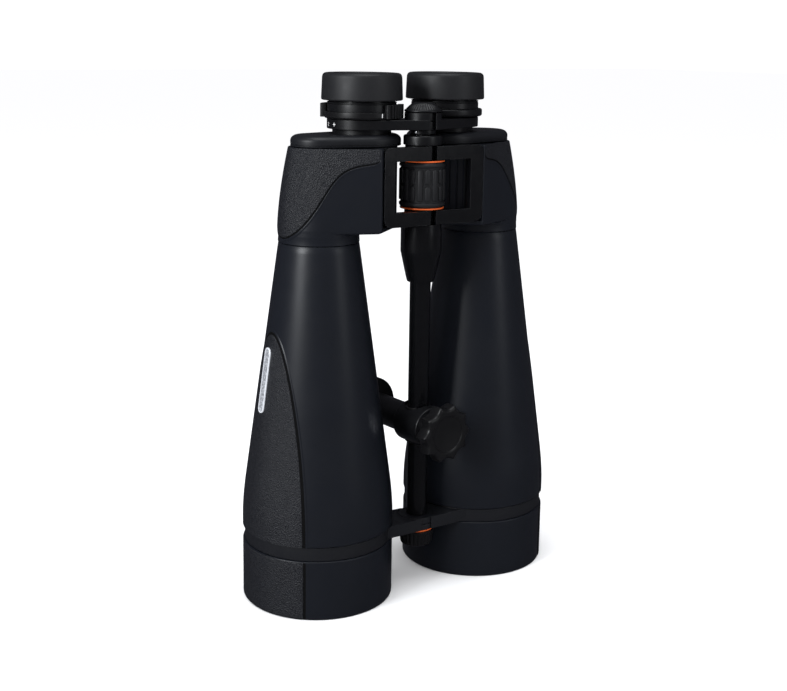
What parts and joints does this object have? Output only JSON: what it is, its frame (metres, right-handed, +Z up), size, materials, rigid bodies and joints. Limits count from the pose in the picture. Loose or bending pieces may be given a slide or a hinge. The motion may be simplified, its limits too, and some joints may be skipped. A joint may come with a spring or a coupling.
{
  "type": "astronomy_binoculars",
  "caption": "Large black rubber-armoured Porro-prism astronomy binoculars on their objective hoods, with orange-ringed focus wheel, centre rod and sliding tripod adapter",
  "frame": {"origin": "middle of the footprint of the whole instrument, on the plane of the two hood rims", "axes": "+Z up, along the optical axes from the hoods to the eyecups; -Y the side with the focus wheel and the clamp knob; +X towards the half that has no dioptre ring"},
  "size_m": [0.2108, 0.0978, 0.3175],
  "materials": {
    "armour_rubber": "pebbled",
    "grip_rubber": "matt",
    "black_metal": "satin black",
    "black_plastic": "satin",
    "orange_metal": "anodised",
    "bright_metal": "brushed",
    "glass": "coated",
    "nylon": "moulded black"
  },
  "bodies": {
    "left_half": {"left_hood": "armour_rubber", "left_objective_barrel": "armour_rubber", "left_badge": "bright_metal", "left_bridge_ring": "black_metal", "left_objective_cell": "black_metal", "left_objective_lens": "glass", "left_retaining_ring": "black_metal", "left_prism_housing": "armour_rubber", "left_prism_cover": "black_metal", "left_prism_shelf": "black_metal", "left_prism_upper": "glass", "left_prism_lower": "glass", "left_bridge_frame": "black_metal", "centre_rod": "black_metal", "shroud": "black_metal", "hinge_axle": "bright_metal", "axle_cap": "black_metal"},
    "right_half": {"right_hood": "armour_rubber", "right_objective_barrel": "armour_rubber", "right_badge": "bright_metal", "right_bridge_ring": "black_metal", "right_objective_cell": "black_metal", "right_objective_lens": "glass", "right_retaining_ring": "black_metal", "right_prism_housing": "armour_rubber", "right_prism_cover": "black_metal", "right_prism_shelf": "black_metal", "right_prism_upper": "glass", "right_prism_lower": "glass", "right_bridge_frame": "black_metal"},
    "focus_wheel": {"focus_knob": "black_metal", "focus_grip": "grip_rubber", "focus_ring_lower": "orange_metal", "focus_ring_upper": "orange_metal"},
    "left_eyepiece": {"left_eyepiece_arm": "black_metal", "left_eyepiece_tube": "black_metal", "left_ocular_housing": "black_metal", "left_eye_lens": "glass", "left_field_lens": "glass", "focus_shaft": "bright_metal", "hub_cap": "black_metal"},
    "right_eyepiece": {"right_eyepiece_arm": "black_metal", "right_eyepiece_tube": "black_metal"},
    "dioptre_adjuster": {"dioptre_ring": "black_plastic"},
    "right_ocular": {"right_ocular_housing": "black_metal", "right_eye_lens": "glass", "right_field_lens": "glass"},
    "left_twist_sleeve": {"left_eyecup_sleeve": "black_metal"},
    "left_cup": {"left_eyecup": "grip_rubber"},
    "right_twist_sleeve": {"right_eyecup_sleeve": "black_metal"},
    "right_cup": {"right_eyecup": "grip_rubber"},
    "bridge_lock": {"lock_knob": "black_plastic", "lock_ring": "orange_metal"},
    "rod_bush": {"clamp_bush": "nylon"},
    "tripod_adapter": {"tripod_post": "black_metal", "tripod_foot": "black_metal"},
    "clamp_handle": {"clamp_screw": "bright_metal", "clamp_knob": "black_plastic"}
  },
  "joints": [
    {"name": "fold", "type": "hinge", "parent": "left_half", "child": "right_half", "pos_m": [0, -0.01815, 0.25], "axis": [0, 0, 1], "range_deg": [-6, 16]},
    {"name": "focus_turn", "type": "hinge", "parent": "left_half", "child": "focus_wheel", "pos_m": [0, -0.01815, 0.2523], "axis": [0, 0, 1], "range_deg": [-110, 320]},
    {"name": "left_focus_slide", "type": "slide", "parent": "left_half", "child": "left_eyepiece", "axis": [0, 0, 1], "range_m": [-0.0025, 0.0074]},
    {"name": "right_focus_slide", "type": "slide", "parent": "right_half", "child": "right_eyepiece", "axis": [0, 0, 1], "range_m": [-0.0026, 0.0075]},
    {"name": "dioptre_turn", "type": "hinge", "parent": "right_eyepiece", "child": "dioptre_adjuster", "pos_m": [-0.03015, 0.00225, 0.293], "axis": [0, 0, 1], "range_deg": [-45, 45]},
    {"name": "dioptre_slide", "type": "slide", "parent": "right_eyepiece", "child": "right_ocular", "axis": [0, 0, 1], "range_m": [-0.001, 0.001]},
    {"name": "left_cup_turn", "type": "hinge", "parent": "left_eyepiece", "child": "left_twist_sleeve", "pos_m": [0.03015, 0.00225, 0.307], "axis": [0, 0, 1], "range_deg": [0, 100]},
    {"name": "left_cup_rise", "type": "slide", "parent": "left_twist_sleeve", "child": "left_cup", "axis": [0, 0, 1], "range_m": [0, 0.008]},
    {"name": "right_cup_turn", "type": "hinge", "parent": "right_ocular", "child": "right_twist_sleeve", "pos_m": [-0.03015, 0.00225, 0.307], "axis": [0, 0, 1], "range_deg": [0, 100]},
    {"name": "right_cup_rise", "type": "slide", "parent": "right_twist_sleeve", "child": "right_cup", "axis": [0, 0, 1], "range_m": [0, 0.008]},
    {"name": "lock_turn", "type": "hinge", "parent": "left_half", "child": "bridge_lock", "pos_m": [0, -0.01815, 0.03], "axis": [0, 0, 1], "range_deg": [-270, 0]},
    {"name": "adapter_slide", "type": "slide", "parent": "left_half", "child": "rod_bush", "axis": [0, 0, 1], "range_m": [-0.02, 0.065]},
    {"name": "adapter_swing", "type": "hinge", "parent": "rod_bush", "child": "tripod_adapter", "pos_m": [0, -0.01815, 0.1033], "axis": [0, 0, 1], "range_deg": [-10, 4]},
    {"name": "clamp_turn", "type": "hinge", "parent": "tripod_adapter", "child": "clamp_handle", "pos_m": [0, -0.01815, 0.1033], "axis": [-0.0698, 0.9976, 0], "range_deg": [-360, 0]}
  ],
  "couplings": [
    {"joint": "focus_turn", "follows": "left_focus_slide", "rad_per_m": 751.88},
    {"joint": "right_focus_slide", "follows": "left_focus_slide", "ratio": 1},
    {"joint": "dioptre_turn", "follows": "dioptre_slide", "rad_per_m": 785},
    {"joint": "left_cup_turn", "follows": "left_cup_rise", "rad_per_m": 218},
    {"joint": "right_cup_turn", "follows": "right_cup_rise", "rad_per_m": 218}
  ]
}
